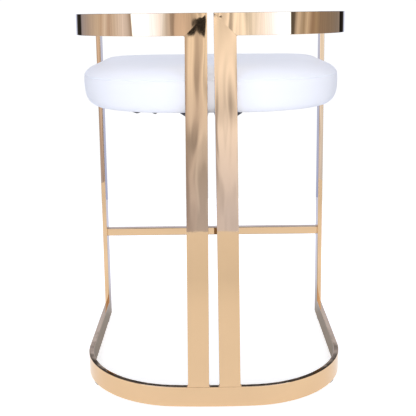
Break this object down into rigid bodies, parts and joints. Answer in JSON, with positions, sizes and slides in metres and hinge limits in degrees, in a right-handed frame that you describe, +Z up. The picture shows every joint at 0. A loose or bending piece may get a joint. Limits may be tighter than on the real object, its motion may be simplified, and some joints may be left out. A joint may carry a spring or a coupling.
{
  "type": "bar stool",
  "caption": "Counter-height bar stool: a D-shaped hoop frame of polished flat tube with split back uprights, a square-tube footrest and a thick padded leatherette seat.",
  "frame": {"origin": "on the floor under the middle of the stool's width and depth", "axes": "+Z up, -Y towards the open front that the sitter faces, +Y towards the back uprights, +X to the sitter's left"},
  "size_m": [0.53, 0.5, 0.743],
  "materials": {
    "gold_plate": "polished gold-tone plating on stainless steel tube, mirror-like with fine hairline scratches",
    "black_steel": "satin black powder coat",
    "plywood": "raw sanded plywood",
    "foam": "open-cell seat foam",
    "leatherette": "white semi-gloss leatherette with a fine pebble grain",
    "dust_cloth": "black non-woven dust cloth",
    "zinc_steel": "bright zinc-plated steel",
    "nylon": "moulded translucent-white nylon"
  },
  "bodies": {
    "root": {"base_rail": "gold_plate", "front_leg_left": "gold_plate", "front_leg_right": "gold_plate", "arm_rail_left": "gold_plate", "arm_rail_right": "gold_plate", "back_upright_left": "gold_plate", "back_upright_right": "gold_plate", "frame_welds": "gold_plate", "footrest_bar": "gold_plate", "front_seat_rail": "gold_plate", "seat_bracket_left": "black_steel", "seat_bracket_right": "black_steel", "bracket_gusset_left": "black_steel", "bracket_gusset_right": "black_steel", "seat_board": "plywood", "seat_foam": "foam", "seat_cover_top": "leatherette", "seat_cover_band": "leatherette", "dust_cover": "dust_cloth", "rear_seat_screws": "zinc_steel", "front_seat_screws": "zinc_steel", "seat_washers": "zinc_steel", "t_nuts": "zinc_steel", "staples": "zinc_steel", "glide_front_left": "nylon", "glide_front_right": "nylon", "glide_rear_left": "nylon", "glide_rear_right": "nylon"}
  },
  "joints": []
}
